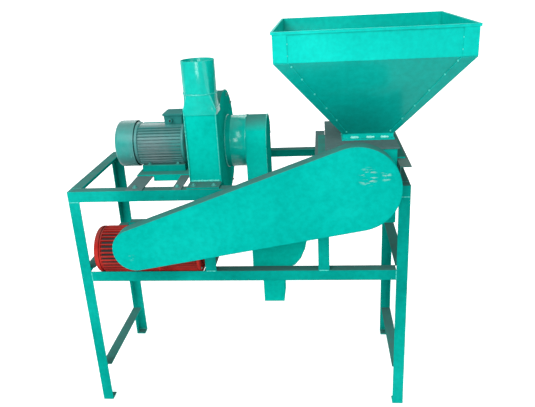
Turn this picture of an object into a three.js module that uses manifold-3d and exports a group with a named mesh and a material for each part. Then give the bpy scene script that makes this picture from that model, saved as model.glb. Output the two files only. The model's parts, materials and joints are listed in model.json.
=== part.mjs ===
// Hopper-fed, belt-driven hammer mill with an aspirating fan on an angle-iron frame.
// Millimetres, +Z up, X along the frame, -Y is the guard side.
import * as THREE from 'three';
import { mergeVertices } from 'three/addons/utils/BufferGeometryUtils.js';
import Module from 'manifold-3d';

const wasm = await Module();
wasm.setup();

// ---- driving dimensions ----
const L = 1200;        // frame length
const D = 513;         // frame depth
const H = 900;         // frame height
const W = 40;          // angle-iron leg width
const T = 4;           // angle-iron thickness
const ZM = 583;        // top of the mid rails
const ZB = 145;        // top of the low braces
const G = 0.3;         // gap between touching pieces
const SX = 1030;       // mill shaft, x
const SZ = 922;        // mill shaft, z
const R_SHAFT = 15;    // mill shaft radius
const R_DISC = 58;     // rotor disc radius
const R_PIN = 46;      // hammer pin circle radius
const PIN = 6;         // hammer pin radius
const R_TIP = 82;      // hammer tip circle radius
const MH = { x0: 919, x1: 1159, y0: 62, y1: 450, z0: 740, z1: 1011.7 };  // mill housing
const FY = 257;        // fan axis, y
const FZ = 1004;       // fan axis, z
const R_SCROLL = 192;  // fan scroll radius
const FX0 = 432;       // fan scroll, left face
const FX1 = 547;       // fan scroll, right face
const MY = 64;         // main motor axis, y
const MZ = 648;        // main motor axis, z
const R_MOTOR = 88;    // main motor radius
const R_GEAR = 25;     // pitch radius of each crossed gear
const OX = 250;        // gear output shaft, x
const OZ = MZ + 2 * R_GEAR + 0.3; // gear output shaft, z
const R_DRIVE = 45;    // drive pulley radius
const R_DRIVEN = 95;   // driven pulley radius
const GY0 = -87;       // guard front face
const GY1 = -30;       // guard back edge
const HC = { x: 1068, y: 283 };  // hopper centre
const HW = 313;        // hopper half width at the rim
const HD = 304;        // hopper half depth at the rim
const HZ0 = 1040;      // pyramid bottom
const HZ1 = 1321;      // pyramid top, bottom of the upright band
const HZ2 = 1417;      // rim
const NW = 89;         // neck half width
const ND = 115;        // neck half depth
const CX = 693;        // recentring: box middle in x
const CY = 252.5;      // recentring: box middle in y

// ---- solids ----
const solid = (geometry) => {
  const g = geometry.index ? geometry.clone() : geometry;
  g.deleteAttribute('normal'); g.deleteAttribute('uv');
  const m = mergeVertices(g, 1e-4);
  return new wasm.Manifold(new wasm.Mesh({ numProp: 3,
    vertProperties: new Float32Array(m.attributes.position.array), triVerts: new Uint32Array(m.index.array) }));
};
const box = (x0, x1, y0, y1, z0, z1) => {
  const g = new THREE.BoxGeometry(x1 - x0, y1 - y0, z1 - z0);
  g.translate((x0 + x1) / 2, (y0 + y1) / 2, (z0 + z1) / 2);
  return solid(g);
};
// outline points: (y,z) for axis x, (x,z) for axis y, (x,y) for axis z
const prism = (pts, axis, a0, a1, holes = []) => {
  const s = new THREE.Shape(pts.map((p) => new THREE.Vector2(p[0], p[1])));
  for (const h of holes) s.holes.push(new THREE.Path(h.map((p) => new THREE.Vector2(p[0], p[1]))));
  const g = new THREE.ExtrudeGeometry(s, { depth: a1 - a0, bevelEnabled: false, steps: 1 });
  const m = new THREE.Matrix4();
  if (axis === 'x') { m.makeBasis(new THREE.Vector3(0, 1, 0), new THREE.Vector3(0, 0, 1), new THREE.Vector3(1, 0, 0)); m.setPosition(a0, 0, 0); }
  if (axis === 'y') { m.makeBasis(new THREE.Vector3(1, 0, 0), new THREE.Vector3(0, 0, 1), new THREE.Vector3(0, -1, 0)); m.setPosition(0, a1, 0); }
  if (axis === 'z') m.setPosition(0, 0, a0);
  g.applyMatrix4(m);
  return solid(g);
};
const arc = (cu, cv, r, n, a0 = 0, a1 = 360) => {
  const out = [];
  const full = Math.abs(a1 - a0) >= 360;
  const k = full ? n : n + 1;
  for (let i = 0; i < k; i++) {
    const a = (a0 + (a1 - a0) * i / n) * Math.PI / 180;
    out.push([cu + r * Math.cos(a), cv + r * Math.sin(a)]);
  }
  return out;
};
const cyl = (axis, cu, cv, r, a0, a1, n = 36) => prism(arc(cu, cv, r, n), axis, a0, a1);
const ring = (axis, cu, cv, r, ri, a0, a1, n = 36, ni = n) => prism(arc(cu, cv, r, n), axis, a0, a1, [arc(cu, cv, ri, ni)]);
// turned shape: profile points are (radius, distance along the axis)
const turned = (axis, cu, cv, profile, n = 36) => {
  const g = new THREE.LatheGeometry(profile.map((p) => new THREE.Vector2(Math.max(p[0], 0), p[1])), n);
  const m = new THREE.Matrix4();
  if (axis === 'x') { m.makeBasis(new THREE.Vector3(0, 0, 1), new THREE.Vector3(1, 0, 0), new THREE.Vector3(0, 1, 0)); m.setPosition(0, cu, cv); }
  if (axis === 'y') m.setPosition(cu, 0, cv);
  g.applyMatrix4(m);
  let s = solid(g);
  if (s.volume() < 0 || s.isEmpty()) {
    const f = new THREE.LatheGeometry(profile.slice().reverse().map((p) => new THREE.Vector2(Math.max(p[0], 0), p[1])), n);
    f.applyMatrix4(m);
    s = solid(f);
  }
  return s;
};
const join = (...s) => s.reduce((a, b) => a.add(b));
const cut = (a, ...s) => s.reduce((x, b) => x.subtract(b), a);
// convex outline round two circles in the x-z plane
const hull2 = (x1, z1, r1, x2, z2, r2, n = 20) => {
  const d = Math.hypot(x2 - x1, z2 - z1);
  const base = Math.atan2(z2 - z1, x2 - x1) * 180 / Math.PI;
  const b = Math.acos((r1 - r2) / d) * 180 / Math.PI;
  return [...arc(x2, z2, r2, n, base - b, base + b), ...arc(x1, z1, r1, n, base + b, base + 360 - b)];
};
// four-sided tube or solid between two level rectangles
const loft = (cx, cy, hw0, hd0, z0, hw1, hd1, z1) => {
  const P = [];
  for (const [hw, hd, z] of [[hw0, hd0, z0], [hw1, hd1, z1]])
    for (const [sx, sy] of [[-1, -1], [1, -1], [1, 1], [-1, 1]]) P.push(cx + sx * hw, cy + sy * hd, z);
  const idx = [0, 2, 1, 0, 3, 2, 4, 5, 6, 4, 6, 7];
  for (let i = 0; i < 4; i++) { const j = (i + 1) % 4; idx.push(i, j, 4 + j, i, 4 + j, 4 + i); }
  const g = new THREE.BufferGeometry();
  g.setAttribute('position', new THREE.Float32BufferAttribute(P, 3));
  g.setIndex(idx);
  return solid(g);
};
// square foot blending up to a circle, as in a duct transition
const squareRound = (x0, x1, y0, y1, z0, cx, cy, r, z1, n = 24) => {
  const P = [], idx = [];
  for (let i = 0; i < n; i++) {
    const a = (i + 0.5) * 2 * Math.PI / n, c = Math.cos(a), s = Math.sin(a);
    const k = 1 / Math.max(Math.abs(c), Math.abs(s));
    P.push((x0 + x1) / 2 + (x1 - x0) / 2 * c * k, (y0 + y1) / 2 + (y1 - y0) / 2 * s * k, z0);
  }
  for (let i = 0; i < n; i++) { const a = (i + 0.5) * 2 * Math.PI / n; P.push(cx + r * Math.cos(a), cy + r * Math.sin(a), z1); }
  P.push((x0 + x1) / 2, (y0 + y1) / 2, z0, cx, cy, z1);
  for (let i = 0; i < n; i++) { const j = (i + 1) % n; idx.push(i, j, n + j, i, n + j, n + i, j, i, 2 * n, n + i, n + j, 2 * n + 1); }
  const g = new THREE.BufferGeometry();
  g.setAttribute('position', new THREE.Float32BufferAttribute(P, 3));
  g.setIndex(idx);
  return solid(g);
};

const root = new THREE.Group();
root.name = 'hammer_mill';
const mat = {
  green: new THREE.MeshStandardMaterial({ color: 0x1f8f6a, metalness: 0.1, roughness: 0.45 }),
  worn: new THREE.MeshStandardMaterial({ color: 0x7f9088, metalness: 0.2, roughness: 0.6 }),
  red: new THREE.MeshStandardMaterial({ color: 0x8e3a32, metalness: 0.1, roughness: 0.55 }),
  steel: new THREE.MeshStandardMaterial({ color: 0x9a9da0, metalness: 0.9, roughness: 0.35 }),
  iron: new THREE.MeshStandardMaterial({ color: 0x4a4d50, metalness: 0.6, roughness: 0.6 }),
  motor: new THREE.MeshStandardMaterial({ color: 0x5f8f7c, metalness: 0.2, roughness: 0.5 }),
  rubber: new THREE.MeshStandardMaterial({ color: 0x1c1c1c, metalness: 0, roughness: 0.9 }),
};
const add = (name, s, m) => {
  const mesh = s.getMesh();
  const g = new THREE.BufferGeometry();
  const v = new Float32Array(mesh.vertProperties.length / mesh.numProp * 3);
  for (let i = 0; i < v.length / 3; i++)
    for (let k = 0; k < 3; k++) v[3 * i + k] = mesh.vertProperties[i * mesh.numProp + k] - (k === 0 ? CX : k === 1 ? CY : 0);
  g.setAttribute('position', new THREE.BufferAttribute(v, 3));
  g.setIndex(new THREE.BufferAttribute(new Uint32Array(mesh.triVerts), 1));
  g.computeVertexNormals();
  const o = new THREE.Mesh(g, m);
  o.name = name;
  root.add(o);
};

// ---- frame ----
const legEnd = H - W - G;
const leg = (x, y, sx, sy) => {
  const L2 = (px, py) => [x + sx * px, y + sy * py];
  const pts = [L2(0, 0), L2(W, 0), L2(W, T), L2(T, T), L2(T, W), L2(0, W)];
  const sq = [L2(0, 0), L2(W, 0), L2(W, W), L2(0, W)];
  if (sx * sy < 0) { pts.reverse(); sq.reverse(); }
  return join(prism(pts, 'z', 0, legEnd), prism(sq, 'z', 0, 5));
};
add('leg_front_left', leg(0, 0, 1, 1), mat.green);
add('leg_front_right', leg(L, 0, -1, 1), mat.green);
add('leg_back_left', leg(0, D, 1, -1), mat.green);
add('leg_back_right', leg(L, D, -1, -1), mat.green);
// angle with its level flange on top and its upright flange outside
const railX = (y, s, x0, x1, top) => {
  const p = [[y, top - W], [y + s * T, top - W], [y + s * T, top - T], [y + s * W, top - T], [y + s * W, top], [y, top]];
  if (s < 0) p.reverse();
  return prism(p, 'x', x0, x1);
};
const railY = (x, s, y0, y1, top) => {
  const p = [[x, top - W], [x + s * T, top - W], [x + s * T, top - T], [x + s * W, top - T], [x + s * W, top], [x, top]];
  if (s < 0) p.reverse();
  return prism(p, 'y', y0, y1);
};
add('top_rail_front', railX(0, 1, 0, L, H), mat.green);
add('top_rail_back', railX(D, -1, 0, L, H), mat.green);
// the upright flange runs on under the long rails and closes the corners
add('top_rail_left', join(railY(0, 1, W + G, D - W - G, H), box(0, T, T + G, D - T - G, H - W, H - T - G)), mat.green);
add('top_rail_right', join(railY(L, -1, W + G, D - W - G, H), box(L - T, L, T + G, D - T - G, H - W, H - T - G)), mat.green);
add('mid_rail_front', cut(railX(0, 1, W + G, L - W - G, ZM), box(40, 466, T, W + 1, ZM - T - 1, ZM + 1)), mat.green);
add('mid_rail_back', railX(D, -1, W + G, L - W - G, ZM), mat.green);
add('mid_rail_left', railY(0, 1, W + G, D - W - G, ZM), mat.green);
add('mid_rail_right', railY(L, -1, W + G, D - W - G, ZM), mat.green);
add('low_brace_left', railY(0, 1, W + G, D - W - G, ZB), mat.green);
add('low_brace_right', railY(L, -1, W + G, D - W - G, ZB), mat.green);
const post = (x) => prism([[x, 0], [x + W, 0], [x + W, T], [x + T, T], [x + T, W], [x, W]], 'z', ZM + G, legEnd);
add('post_front_left', post(473), mat.green);
add('post_front_right', post(884), mat.green);

// ---- bearers ----
add('mill_bearer_left', prism([[878, H + G], [882, H + G], [882, 964], [915, 964], [915, 968], [878, 968]], 'y', 0, D), mat.worn);
add('mill_bearer_right', prism([[1161, H + G], [1165, H + G], [1165, 964], [1200, 964], [1200, 968], [1161, 968]], 'y', 0, D), mat.worn);
add('fan_bearer_left', join(box(213, 275, 0, D, H + G, H + T), box(213, 217, W + 1, D - W - 1, H - 36, H + T)), mat.worn);
add('fan_bearer_right', join(box(380, 414, 0, D, H + G, H + T), box(380, 384, W + 1, D - W - 1, H - 36, H + T)), mat.worn);
add('fan_motor_base', join(box(213, 414, 150, 332, H + T + G, H + T + 5), box(276, 379, 150, 154, 884, H + T + 5)), mat.green);
add('motor_cross_bearer', join(box(472, 504, 40.5, D, ZM + G, ZM + T), box(472, 476, W + 1, D - W - 1, ZM - 36, ZM + T)), mat.worn);
add('main_motor_plate', join(box(60, 448, T + G, D - T - G, 545, 551)), mat.green);

// ---- mill ----
{
  let s = box(MH.x0, MH.x1, MH.y0, MH.y1, MH.z0, MH.z1);
  s = cut(s, box(MH.x0 + 6, MH.x1 - 6, MH.y0 + 6, MH.y1 - 6, MH.z0 + 6, MH.z1 + 5),
    box(931, 1151, 168, 346, MH.z0 - 5, MH.z0 + 10), cyl('y', SX, SZ, 20, MH.y0 - 5, MH.y1 + 5, 32));
  s = join(s, box(890, MH.x0 + 3, 90, 420, 968 + G, 974), box(MH.x1 - 3, 1190, 90, 420, 968 + G, 974));
  add('mill_housing', s, mat.green);
}
add('mill_top_plate', cut(box(915, 1167, 58, 470, 1012, 1018), box(985, 1151, 174, 392, 1000, 1030)), mat.worn);
add('mill_screen', prism([...arc(SX, SZ, 92, 28, 180, 360), ...arc(SX, SZ, 89.5, 28, 360, 180)], 'y', MH.y0 + 6 + G, MH.y1 - 6 - G), mat.steel);
const bearing = (ya, yb, out) => {
  const flange = box(SX - 42, SX + 42, ya, yb, SZ - 38, SZ + 42);
  const boss = cyl('y', SX, SZ, 30, out[0], out[1], 36);
  let s = join(flange, boss);
  for (const [dx, dz] of [[-31, -28], [31, -28], [-31, 31], [31, 31]]) s = join(s, cyl('y', SX + dx, SZ + dz, 6.5, out[2], out[3], 6));
  return cut(s, cyl('y', SX, SZ, R_SHAFT + 0.2, -200, 700, 24));
};
add('shaft_bearing_front', bearing(52, MH.y0 - G, [42, 53, 46, 53]), mat.iron);
add('shaft_bearing_back', bearing(MH.y1 + G, 460, [459, 470, 459, 466]), mat.iron);
add('mill_shaft', turned('y', SX, SZ, [[0, -78], [13, -78], [R_SHAFT, -76], [R_SHAFT, 478], [13, 480], [0, 480]], 24), mat.steel);
{
  const ds = [[104, 112], [252, 260], [400, 408]];
  let s = cyl('y', SX, SZ, 24, 104, 408, 20);
  for (const [a, b] of ds) s = join(s, cyl('y', SX, SZ, R_DISC, a, b, 28));
  s = cut(s, cyl('y', SX, SZ, R_SHAFT + G, 0, 500, 24));
  for (let i = 0; i < 4; i++) {
    const a = i * Math.PI / 2;
    s = cut(s, cyl('y', SX + R_PIN * Math.cos(a), SZ + R_PIN * Math.sin(a), PIN + G, 0, 500, 16));
  }
  add('rotor_discs', s, mat.iron);
}
const PINS = ['right', 'top', 'left', 'bottom'];
for (let i = 0; i < 4; i++) {
  const a = i * Math.PI / 2, px = SX + R_PIN * Math.cos(a), pz = SZ + R_PIN * Math.sin(a);
  add('hammer_pin_' + PINS[i], turned('y', px, pz, [[0, 98], [9, 98], [9, 103.7], [PIN, 103.7], [PIN, 412], [5, 414], [0, 414]], 16), mat.steel);
  const [y0, y1] = i % 2 ? [263, 397] : [115, 249];
  const w = 11, inn = 10, len = R_TIP - R_PIN;
  const rot = (u, v) => [px + u * Math.cos(a) - v * Math.sin(a), pz + u * Math.sin(a) + v * Math.cos(a)];
  const pts = [rot(-inn, -w + 4), rot(-inn + 4, -w), rot(len - 1, -w), rot(len - 1, w), rot(-inn + 4, w), rot(-inn, w - 4)];
  add('hammer_' + PINS[i], cut(prism(pts, 'y', y0, y1), cyl('y', px, pz, PIN + 0.15, y0 - 5, y1 + 5, 16)), mat.iron);
}

// ---- belt drive ----
const pulley = (x, z, R, ya, yb, hub, bore) => turned('y', x, z, [
  [bore, ya], [hub, ya], [hub, ya + 6], [R - 17, ya + 6], [R - 17, ya], [R, ya], [R, ya + 6], [R - 10, ya + 11], [R - 10, yb - 11], [R, yb - 6], [R, yb], [R - 17, yb],
  [R - 17, yb - 6], [hub, yb - 6], [hub, yb], [bore, yb], [bore, ya]], 32);
add('driven_pulley', pulley(SX, SZ, R_DRIVEN, -72, -40, 32, R_SHAFT + G), mat.iron);
add('drive_pulley', turned('y', OX, OZ, [[12 + G, -72], [R_DRIVE, -72], [R_DRIVE, -66], [R_DRIVE - 10, -61], [R_DRIVE - 10, -51], [R_DRIVE, -46], [R_DRIVE, -40], [12 + G, -40], [12 + G, -72]], 24), mat.iron);
{
  const o = hull2(OX, OZ, R_DRIVE - 1, SX, SZ, R_DRIVEN - 1, 20), i = hull2(OX, OZ, R_DRIVE - 9, SX, SZ, R_DRIVEN - 9, 20);
  add('drive_belt', prism(o, 'y', -60.5, -51.5, [i]), mat.rubber);
}
{
  const o = hull2(246, 709, 78, 1015, 917, 146, 24), i = hull2(246, 709, 75.5, 1015, 917, 143.5, 24);
  let s = cut(prism(o, 'y', GY0, GY1), prism(i, 'y', GY0 + 2.5, GY1 + 5));
  s = join(s, box(700, 730, GY0 + 1, -G, 868, 888), box(478, 508, GY0 + 1, -G, 748, 768), box(890, 920, GY0 + 1, -G, 832, 850));
  add('belt_guard', s, mat.green);
}

// ---- hopper ----
{
  const t = 2.5;
  const out = join(box(HC.x - NW, HC.x + NW, HC.y - ND, HC.y + ND, 1024, HZ0 + 1), loft(HC.x, HC.y, NW, ND, HZ0, HW, HD, HZ1), box(HC.x - HW, HC.x + HW, HC.y - HD, HC.y + HD, HZ1 - 0.5, HZ2));
  const inn = join(box(HC.x - NW + t, HC.x + NW - t, HC.y - ND + t, HC.y + ND - t, 1000, HZ0 + 2), loft(HC.x, HC.y, NW - t, ND - t, HZ0, HW - t, HD - t, HZ1 + 0.5), box(HC.x - HW + t, HC.x + HW - t, HC.y - HD + t, HC.y + HD - t, HZ1, HZ2 + 10));
  const lip = cut(box(HC.x - HW - 5, HC.x + HW + 5, HC.y - HD - 5, HC.y + HD + 5, HZ2 - 3, HZ2), box(HC.x - HW + t, HC.x + HW - t, HC.y - HD + t, HC.y + HD - t, HZ2 - 10, HZ2 + 10));
  const flange = cut(box(HC.x - NW - 4, HC.x + NW + 4, HC.y - ND - 12, HC.y + ND + 12, 1018 + G, 1024), box(HC.x - NW + t, HC.x + NW - t, HC.y - ND + t, HC.y + ND - t, 1000, 1030));
  add('hopper', join(cut(out, inn), lip, flange), mat.green);
}

// ---- main motor and gear case ----
{
  let s = cyl('x', MY, MZ, R_MOTOR - 4, 87, 206, 36);
  for (let i = 0; i < 20; i++) {
    const a = i * 18 + 9;
    if (a > 235 && a < 305) continue;
    const c = Math.cos(a * Math.PI / 180), n = Math.sin(a * Math.PI / 180), q = (u, v) => [MY + u * c - v * n, MZ + u * n + v * c];
    s = join(s, prism([q(80, -1.6), q(R_MOTOR, -1.2), q(R_MOTOR, 1.2), q(80, 1.6)], 'x', 95, 198));
  }
  s = join(s, cyl('x', MY, MZ, R_MOTOR, 198, 206, 36), box(100, 125, MY - 58, MY + 58, 551 + G, 600), box(160, 190, MY - 58, MY + 58, 551 + G, 600));
  s = cut(s, cyl('x', MY, MZ, 42, 93, 200, 24), cyl('x', MY, MZ, 12.15, 73, 210, 24));
  s = cut(s, cyl('x', MY, MZ, 30, 73, 94, 20));
  add('main_motor_body', s, mat.red);
}
add('main_motor_cowl', turned('x', MY, MZ, [[R_MOTOR - 22, 64], [R_MOTOR - 9, 67], [R_MOTOR - 2, 73], [R_MOTOR, 79], [R_MOTOR, 86.7], [R_MOTOR - 2.5, 86.7], [R_MOTOR - 2.5, 79.5], [R_MOTOR - 4.6, 74.4], [R_MOTOR - 10.5, 69.4], [R_MOTOR - 22, 66.5], [30, 66.5], [30, 64], [R_MOTOR - 22, 64]], 32), mat.red);
add('main_motor_shaft', turned('x', MY, MZ, [[0, 70], [12, 70], [12, 98], [38, 98], [38, 190], [12, 190], [12, 238], [R_GEAR, 238], [R_GEAR, 262], [12, 262], [12, 300], [0, 300]], 24), mat.steel);
{
  let s = cyl('x', MY, MZ, R_MOTOR, 206 + G, 456, 36);
  s = cut(s, cyl('x', MY, MZ, R_MOTOR - 5, 200, 290, 32), cyl('x', MY, MZ, 12.15, 280, 320, 24), cyl('x', MY, MZ, R_MOTOR - 20, 305, 460, 24),
    cyl('y', OX, OZ, 12.15, -60, 200, 24));
  s = join(s, box(225, 255, MY - 50, MY + 50, 551 + G, 566), box(400, 430, MY - 50, MY + 50, 551 + G, 566));
  add('gear_case', s, mat.red);
}
add('gear_output_shaft', turned('y', OX, OZ, [[0, -74], [12, -74], [12, 50], [R_GEAR, 50], [R_GEAR, 78], [12, 78], [12, 150], [0, 150]], 24), mat.steel);

// ---- fan ----
{
  let s = cyl('x', FY, FZ, 76, 206, 396, 32);
  for (let i = 0; i < 20; i++) {
    const a = i * 18 + 9;
    if ((a > 60 && a < 120) || (a > 238 && a < 302)) continue;
    const c = Math.cos(a * Math.PI / 180), n = Math.sin(a * Math.PI / 180), q = (u, v) => [FY + u * c - v * n, FZ + u * n + v * c];
    s = join(s, prism([q(72, -1.4), q(83, -1), q(83, 1), q(72, 1.4)], 'x', 218, 384));
  }
  s = join(s, cyl('x', FY, FZ, 82, 384, 396, 32), box(226, 390, FY - 66, FY + 66, 909 + G, 934));
  s = cut(s, cyl('x', FY, FZ, 40, 214, 388, 24), cyl('x', FY, FZ, 9.65, 200, 400, 24), cyl('x', FY, FZ, 28, 200, 215, 20));
  add('fan_motor_body', s, mat.motor);
}
add('fan_motor_cowl', turned('x', FY, FZ, [[70, 133], [82, 137], [88, 145], [88, 205.7], [85.5, 205.7], [85.5, 146], [80, 139.5], [70, 135.5], [24, 135.5], [24, 133], [70, 133]], 32), mat.motor);
add('fan_terminal_box', cut(join(box(320, 392, 216, 298, 1082, 1115), box(316, 396, 212, 302, 1115, 1124), cyl('y', 346, 1098, 9, 204, 220, 16)), cyl('x', FY, FZ, 83.5, 300, 400, 32)), mat.motor);
add('fan_motor_shaft', turned('x', FY, FZ, [[0, 141], [9.5, 141], [9.5, 222], [37, 222], [37, 380], [9.5, 380], [9.5, 502], [0, 502]], 24), mat.steel);
{
  const disc = arc(FY, FZ, R_SCROLL, 44), inner = arc(FY, FZ, R_SCROLL - 3, 44);
  let s = join(prism(disc, 'x', FX0, FX1), box(FX0, FX1, 65, 150, H + G, 1165));
  s = join(s, box(FX0, FX1, 4, 66, H + G, H + 6), box(FX0, FX1, 412, 509, H + G, H + 6));
  s = cut(s, prism(inner, 'x', FX0 + 3, FX1 - 3), box(FX0 + 3, FX1 - 3, 68, 147, H + 6, 1190),
    cyl('x', FY, FZ, 16, FX0 - 5, FX0 + 5, 24), cyl('x', FY, FZ, 90, FX1 - 5, FX1 + 5, 40));
  add('fan_scroll', s, mat.green);
}
{
  let s = join(squareRound(FX0, FX1, 65, 150, 1165 + G, 486, 123, 58, 1215), cyl('z', 486, 123, 58, 1214.5, 1326, 24));
  s = cut(s, join(squareRound(FX0 + 3, FX1 - 3, 68, 147, 1165, 486, 123, 55.5, 1215), cyl('z', 486, 123, 55.5, 1214, 1330, 24), box(FX0 + 3, FX1 - 3, 68, 147, 1161, 1165.1 + G)));
  add('fan_outlet_pipe', s, mat.green);
}
{
  let s = join(cyl('x', FY, FZ, 140, 438, 442, 32), cyl('x', FY, FZ, 24, 437, 500, 20));
  for (let i = 0; i < 8; i++) {
    const a = i * 45, c = Math.cos(a * Math.PI / 180), n = Math.sin(a * Math.PI / 180), q = (u, v) => [FY + u * c - v * n, FZ + u * n + v * c];
    s = join(s, prism([q(20, -1.5), q(140, -1.5), q(140, 1.5), q(20, 1.5)], 'x', 440, 518));
  }
  add('fan_impeller', cut(s, cyl('x', FY, FZ, 9.5 + G, 400, 505, 24)), mat.iron);
}
add('fan_inlet_drum', ring('x', FY, FZ, 98, 95.5, FX1 + G, 627.7, 44), mat.green);
{
  const u = (r, zb) => [...arc(FY, FZ, r, 28, 0, 180), [FY - r, zb], [FY + r, zb]];
  let s = cut(prism(u(98, 740), 'x', 628, 703), prism(u(95.5, 730), 'x', 630.5, 700.5), cyl('x', FY, FZ, 92, 620, 640, 40));
  add('suction_duct', s, mat.green);
}
{
  const y0 = 159, y1 = 355;
  const o = [[628, 739.7], [628, 512], [765, 512], [793, 528], [816, 556], [832, 594], [843, 645], [1163, 736.2], [1163, 739.7]];
  const i = [[631, 736.7], [631, 515], [764, 515], [791, 530.5], [813.5, 557.5], [829.3, 595], [840.5, 647.3], [1150, 735.6], [1150, 736.7]];
  let s = cut(prism(o.slice().reverse(), 'y', y0, y1), prism(i.slice().reverse(), 'y', y0 + 3, y1 - 3), box(631, 700, y0 + 3, y1 - 3, 730, 745), box(931, 1149, 168, 346, 735, 745),
    box(667, 736, 206, 308, 500, 520));
  add('separator_chamber', s, mat.green);
}
add('grain_spout', cut(loft(701.5, FY, 40.5, 57, 340, 42, 57, 512 - G), loft(701.5, FY, 38, 54.5, 330, 39.5, 54.5, 522)), mat.green);

export default root;
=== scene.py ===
import bpy, bmesh, json, math
from mathutils import Vector, Matrix


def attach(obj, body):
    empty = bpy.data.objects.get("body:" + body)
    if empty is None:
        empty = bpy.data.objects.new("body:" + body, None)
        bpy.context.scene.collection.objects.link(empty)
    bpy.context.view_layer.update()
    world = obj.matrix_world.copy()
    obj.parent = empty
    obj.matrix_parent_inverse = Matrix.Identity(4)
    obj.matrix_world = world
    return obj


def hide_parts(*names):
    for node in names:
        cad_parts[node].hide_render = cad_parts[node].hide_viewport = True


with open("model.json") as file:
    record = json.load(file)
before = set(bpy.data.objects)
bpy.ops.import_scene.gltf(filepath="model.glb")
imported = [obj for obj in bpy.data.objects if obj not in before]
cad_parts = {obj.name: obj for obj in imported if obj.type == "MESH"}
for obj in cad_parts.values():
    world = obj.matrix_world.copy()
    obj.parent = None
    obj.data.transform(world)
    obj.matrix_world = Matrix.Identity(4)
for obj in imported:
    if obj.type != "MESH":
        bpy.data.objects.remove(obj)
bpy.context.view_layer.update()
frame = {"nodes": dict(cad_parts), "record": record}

CX, CY = 693.0, 252.5
NODES = frame["nodes"]
SLOT = {s["node"]: s["material_slot"] for s in frame["record"]["subparts"]}
BODY_OF = {n: b for b, ns in frame["record"]["behaviour"]["bodies"].items() for n in ns}
ROOT = "frame_and_casings"

def lin(r, g, b):
    f = lambda c: c / 12.92 if c <= 0.04045 else ((c + 0.055) / 1.055) ** 2.4
    return (f(r / 255), f(g / 255), f(b / 255), 1.0)

# ---------------------------------------------------------------- materials
class Nodes:
    def __init__(self, name):
        self.m = bpy.data.materials.new(name)
        self.m.use_nodes = True
        self.t = self.m.node_tree
        self.t.nodes.clear()
        self.out = self.new("ShaderNodeOutputMaterial")
        self.b = self.new("ShaderNodeBsdfPrincipled")
        self.link(self.b, "BSDF", self.out, "Surface")
        self.co = self.new("ShaderNodeTexCoord")
    def new(self, kind, **kw):
        n = self.t.nodes.new(kind)
        for k, v in kw.items():
            setattr(n, k, v)
        return n
    def link(self, a, ao, b, bi):
        self.t.links.new(a.outputs[ao], b.inputs[bi])
    def noise(self, scale, detail=3.0, rough=0.5, stretch=None):
        n = self.new("ShaderNodeTexNoise")
        n.inputs["Scale"].default_value = scale
        n.inputs["Detail"].default_value = detail
        n.inputs["Roughness"].default_value = rough
        if stretch:
            mp = self.new("ShaderNodeMapping")
            mp.inputs["Scale"].default_value = stretch
            self.link(self.co, "Object", mp, "Vector")
            self.link(mp, "Vector", n, "Vector")
        else:
            self.link(self.co, "Object", n, "Vector")
        return n
    def ramp(self, src, out, stops):
        r = self.new("ShaderNodeValToRGB")
        e = r.color_ramp.elements
        while len(e) < len(stops):
            e.new(0.5)
        for i, (p, c) in enumerate(stops):
            e[i].position = p
            e[i].color = c if len(c) == 4 else (*c, 1.0)
        self.link(src, out, r, "Fac")
        return r
    def mix(self, fac, fo, a, ao, b, bo, kind="MIX"):
        m = self.new("ShaderNodeMix", data_type="RGBA", blend_type=kind)
        if isinstance(fac, float):
            m.inputs[0].default_value = fac
        else:
            self.link(fac, fo, m, 0)
        if isinstance(a, tuple):
            m.inputs[6].default_value = a
        else:
            self.link(a, ao, m, 6)
        if isinstance(b, tuple):
            m.inputs[7].default_value = b
        else:
            self.link(b, bo, m, 7)
        return m
    def bump(self, src, out, strength, dist, prev=None):
        b = self.new("ShaderNodeBump")
        b.inputs["Strength"].default_value = strength
        b.inputs["Distance"].default_value = dist
        self.link(src, out, b, "Height")
        if prev:
            self.link(prev, "Normal", b, "Normal")
        return b

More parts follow.
